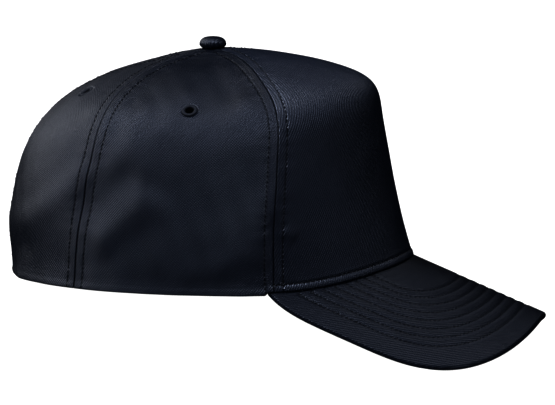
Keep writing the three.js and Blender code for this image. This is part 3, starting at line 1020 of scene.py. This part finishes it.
def peak_rows(cap):
    """The peak's stitch rows in the flat pattern, each cut off where it meets the crown's hem."""
    s = np.linspace(-1, 1, 700)
    edge_across, edge_ahead = peak_inner(cap, s, -0.0012)
    rows = []
    for k in range(cap.peak.rows):
        across, ahead = peak_line(cap, s, cap.peak.first_row + k * cap.peak.row_spacing)
        hem = np.interp(across, edge_across, edge_ahead)
        keep = ahead > hem
        rows.append(np.stack([across[keep], ahead[keep]], -1))
    return rows


def peak_sewing(cap, flat):
    """For each point of the flat peak, how far past the nearest row it is, and how many stitches along."""
    best = np.full(flat.shape[:-1], 1.0)
    along = np.zeros(flat.shape[:-1])
    for row in peak_rows(cap):
        place = stitches_run(cap, row)
        for start in range(0, flat.shape[0], 40):
            part = slice(start, start + 40)
            nearest = np.square(flat[part, :, None] - row[None, None]).sum(-1).argmin(-1)
            offset = flat[part] - row[nearest]
            ahead = unit(np.gradient(row, axis=0))[nearest]
            away = ahead[..., 0] * offset[..., 1] - ahead[..., 1] * offset[..., 0]
            away = np.where(np.linalg.norm(offset, axis=-1) > np.abs(away) + 0.001, 1.0, away)
            nearer = np.abs(away) < np.abs(best[part])
            along[part] = np.where(nearer, place[nearest], along[part])
            best[part] = np.where(nearer, away, best[part])
    return best, along


def peak_quilt(peak, flat, away):
    """Rise of the cover between stitch rows and its dip along each."""
    relief = peak.quilt_rise - peak.quilt_dip * bell(away / 0.0011)
    wave = np.sin(flat[..., 0] * 2 * pi / 0.0067 + 1.9 * np.sin(flat[..., 1] * 2 * pi / 0.023))
    return relief + 0.00005 * wave * bell(away / 0.003)


class CAP_OT_button(Operator):
    """Covers the top button in twill gathered under its edge"""

    bl_idname = "cap.button"
    bl_label = "Covered button"

    def execute(self, context):
        cap = cap_settings()
        fitting = cap.fitting
        twill = navy_twill(cap)
        sides = 96
        turns = (np.arange(sides) * 2 * pi / sides)[:, None]
        knots = np.array(BUTTON_SECTIONS)
        run = run_lengths(knots, 0)
        fine = np.linspace(0, run[-1], 34)[1:]
        out = smooth_through(run, knots[:, 0], fine)
        up = smooth_through(run, knots[:, 1], fine)
        rest = cap.crown.height - fitting.button_sink
        gather = 1 - 0.035 * np.cos(turns * 14) * bell((up - 0.05) / 0.22)
        stem = fitting.button_stem / 2
        back = fitting.button_back / 2
        under = rest - fitting.stem_length
        low = under - fitting.button_back_thickness
        tail = np.array([(stem, rest), (stem, under), (back, under), (back, low), (stem * 0.2, low)])
        dome = fitting.button_diameter / 2 * out * gather
        ring = np.concatenate([dome, np.tile(tail[:, 0], (sides, 1))], axis=1)
        high = np.concatenate([rest + fitting.button_height * up, tail[:, 1]])
        high = np.broadcast_to(high, ring.shape)
        loops = np.stack([ring * np.cos(turns), ring * np.sin(turns), high], -1)
        size = loops.shape[1]
        points = stand(cap, loops)
        faces = []
        for i in range(sides):
            n = (i + 1) % sides
            for j in range(size - 1):
                faces.append([i * size + j, n * size + j, n * size + j + 1, i * size + j + 1])
        faces.append([i * size for i in range(sides)])
        faces.append([i * size + size - 1 for i in reversed(range(sides))])
        places = {"cloth": loops[..., :2].copy(), "sewing": unsewn(loops)}
        piece = outward(add_mesh("button_cover", points, faces, twill, places))
        dress(piece, "cotton_twill", "button")
        return {"FINISHED"}


def smooth_through(run, values, at):
    """A gentle curve through a few values."""
    slopes = np.gradient(values, run)
    i = np.clip(np.searchsorted(run, at) - 1, 0, len(run) - 2)
    h = run[i + 1] - run[i]
    f = (at - run[i]) / h
    a = (2 * f**3 - 3 * f**2 + 1) * values[i] + (f**3 - 2 * f**2 + f) * h * slopes[i]
    b = (-2 * f**3 + 3 * f**2) * values[i + 1] + (f**3 - f**2) * h * slopes[i + 1]
    return a + b


class CAP_OT_eyelets(Operator):
    """Sews the four vent eyelets, each a ring of close stitches over the hole's edge"""

    bl_idname = "cap.eyelets"
    bl_label = "Eyelets"

    def execute(self, context):
        cap = cap_settings()
        fitting = cap.fitting
        thread = material_named(
            cap, "polyester thread, glossy, navy", spun_thread, cap.colour.cloth, 0.3
        )
        middle = (fitting.eyelet_diameter + fitting.eyelet_hole) / 4
        half = (fitting.eyelet_diameter - fitting.eyelet_hole) / 4
        around = fitting.eyelet_stitches * 6
        turns = np.arange(around) * 2 * pi / around
        ridge = np.abs(np.cos(turns * fitting.eyelet_stitches / 2)) ** 0.7
        section_turns = np.arange(16) * 2 * pi / 16
        for name, degrees, down in EYELETS:
            fat = (0.86 + 0.14 * ridge)[:, None]
            uneven = 1 + 0.05 * np.sin(turns * 5 + degrees)[:, None]
            radial = middle + half * fat * uneven * np.cos(section_turns)[None, :]
            high = fitting.eyelet_thickness / 2 * fat * np.sin(section_turns)[None, :]
            points = np.stack([radial * np.cos(turns)[:, None], radial * np.sin(turns)[:, None], high], -1)
            faces = ring_faces(around, 16, True)
            piece = outward(add_mesh(f"{name}_stitching", points, faces, thread))
            piece.data.transform(eyelet_place(cap, degrees, down))
            dress(piece, "sewing_thread", name)
        return {"FINISHED"}


class CAP_OT_topstitching(Operator):
    """Runs the twin rows beside each seam, the hem's row and the rows of the peak"""

    bl_idname = "cap.topstitching"
    bl_label = "Topstitching"

    def execute(self, context):
        cap = cap_settings()
        # Its thread is drawn darker than the cloth, as painted shade of the stitches pulled down into it.
        thread = material_named(cap, "polyester thread, spun, navy", spun_thread, cap.colour.thread, 0.05)
        row = cap.stitch.gauge / 2
        grids = crown_cloth(cap)
        seams = [grid.seam_path(row, second) for grid in grids.values() for second in (False, True)]
        self.sew(cap, "seam_topstitching", seams, thread)
        self.sew(cap, "hem_stitching", [grids["front_panel"].rim_path(cap.stitch.hem_row)], thread)
        fine = material_named(cap, "polyester thread, fine, navy", spun_thread, cap.colour.cloth, 0.2)
        rows = []
        for flat in peak_rows(cap):
            points = bend_peak(cap, flat, cap.peak.quilt_rise)
            above = bend_peak(cap, flat, -0.001)
            rows.append((points, unit(above - points)))
        self.sew(cap, "peak_stitching", rows, fine)
        return {"FINISHED"}

    @staticmethod
    def sew(cap, name, paths, thread):
        """Makes one joined piece of all the stitches on some paths."""
        points, faces = stitches_along(cap, paths)
        dress(add_mesh(name, stand(cap, points), faces, thread), "sewing_thread")


class CAP_OT_stage(Operator):
    """Sets the pale floor, the soft lights and the camera"""

    bl_idname = "cap.stage"
    bl_label = "Stage"

    def execute(self, context):
        cap = cap_settings()
        scene = context.scene
        stage = lit_with("stage", self.floor(cap))
        for name, target, around, high, strength, soft in LIGHTS:
            self.light(name, around, high, strength, soft, bpy.data.collections[target])
        bpy.data.objects["floor_light"].light_linking.blocker_collection = stage
        # The backdrop is for the camera alone, so that all light on the cap comes from the lamps
        world = bpy.data.worlds.new("studio")
        world.use_nodes = True
        backdrop = world.node_tree.nodes["Background"]
        backdrop.inputs["Color"].default_value = linear(cap.colour.floor)
        backdrop.inputs["Strength"].default_value = 1.3
        for ray in ("diffuse", "glossy", "transmission", "scatter"):
            setattr(world.cycles_visibility, ray, False)
        scene.world = world
        scene.view_settings.view_transform = "Standard"
        scene.view_settings.look = "None"
        scene.view_settings.gamma = 0.7
        self.camera(cap, scene)
        return {"FINISHED"}

    @staticmethod
    def floor(cap):
        """A wide plain floor that the cap stands on, which the dark cloth doesn't mirror."""
        corners = ((-1, -1, 0), (1, -1, 0), (1, 1, 0), (-1, 1, 0))
        points = FLOOR_SIZE * np.array(corners)
        floor = add_mesh("floor", points, [[0, 1, 2, 3]], material_named(cap, "background paper", paper))
        floor.visible_glossy = False
        return floor

    @staticmethod
    def light(name, around, high, strength, soft, receivers):
        """A wide soft light from far away, given by its direction, that falls on some pieces."""
        data = bpy.data.lights.new(name, "SUN")
        data.energy = strength
        data.angle = radians(soft)
        lamp = bpy.data.objects.new(name, data)
        a = radians(around)
        h = radians(high)
        lamp.rotation_mode = "QUATERNION"
        lamp.rotation_quaternion = Vector((cos(a) * cos(h), sin(a) * cos(h), sin(h))).to_track_quat("Z", "Y")
        lamp.light_linking.receiver_collection = receivers
        bpy.context.scene.collection.objects.link(lamp)

    @staticmethod
    def camera(cap, scene):
        """A long lens on the wearer's right, turned with the cap's tilt so that its rim lies level in
        the picture."""
        swing = radians(CAMERA_SWING)
        rise = radians(CAMERA_RISE)
        c = cos(cap.rest.pitch)
        s = sin(cap.rest.pitch)
        tilt = Matrix(((c, 0, -s), (0, 1, 0), (s, 0, c)))
        back = tilt @ Vector((sin(swing) * cos(rise), -cos(swing) * cos(rise), sin(rise)))
        right = tilt @ Vector((cos(swing), sin(swing), 0))
        up = back.cross(right)
        aim = right * CAMERA_AIM[0] + up * CAMERA_AIM[1] + Vector((-cap.rest.shift, 0, cap.rest.lift))
        data = bpy.data.cameras.new("camera")
        data.sensor_width = SENSOR_WIDTH
        data.lens = SENSOR_WIDTH * CAMERA_DISTANCE / CAMERA_VIEW
        data.clip_end = 100
        camera = bpy.data.objects.new("camera", data)
        turned = Matrix((right, up, back)).transposed().to_4x4()
        camera.matrix_world = Matrix.Translation(aim + back * CAMERA_DISTANCE) @ turned
        scene.collection.objects.link(camera)
        scene.camera = camera


PIECES = (CAP_OT_panels, CAP_OT_peak, CAP_OT_button, CAP_OT_eyelets, CAP_OT_topstitching, CAP_OT_stage)


class CAP_PT_sidebar(Panel):
    """Lists the cap's sizes and the steps that build it"""

    bl_idname = "CAP_PT_sidebar"
    bl_label = "Five Panel Cap"
    bl_space_type = "VIEW_3D"
    bl_region_type = "UI"
    bl_category = "Cap"

    def draw(self, context):
        cap = context.scene.five_panel_cap
        for title in ("crown", "peak", "stitch", "fitting", "colour", "rest"):
            box = self.layout.box()
            box.label(text=title.capitalize())
            group = getattr(cap, title)
            for key in group.bl_rna.properties.keys():
                if key not in ("rna_type", "name"):
                    box.prop(group, key)
        for piece in PIECES:
            self.layout.operator(piece.bl_idname)


SETTINGS = (CrownSizes, PeakSizes, StitchSizes, FittingSizes, ClothColours, RestPose, CapSettings)


def register():
    """Adds the settings, steps and sidebar."""
    for part in (*SETTINGS, *PIECES, CAP_PT_sidebar):
        bpy.utils.register_class(part)
    bpy.types.Scene.five_panel_cap = PointerProperty(type=CapSettings)


def unregister():
    """Takes them away again."""
    del bpy.types.Scene.five_panel_cap
    for part in reversed((*SETTINGS, *PIECES, CAP_PT_sidebar)):
        bpy.utils.unregister_class(part)


def main():
    """Builds every piece in order."""
    register()
    bpy.ops.cap.panels()
    bpy.ops.cap.peak()
    bpy.ops.cap.button()
    bpy.ops.cap.eyelets()
    bpy.ops.cap.topstitching()
    bpy.ops.cap.stage()


if __name__ == "__main__":
    main()
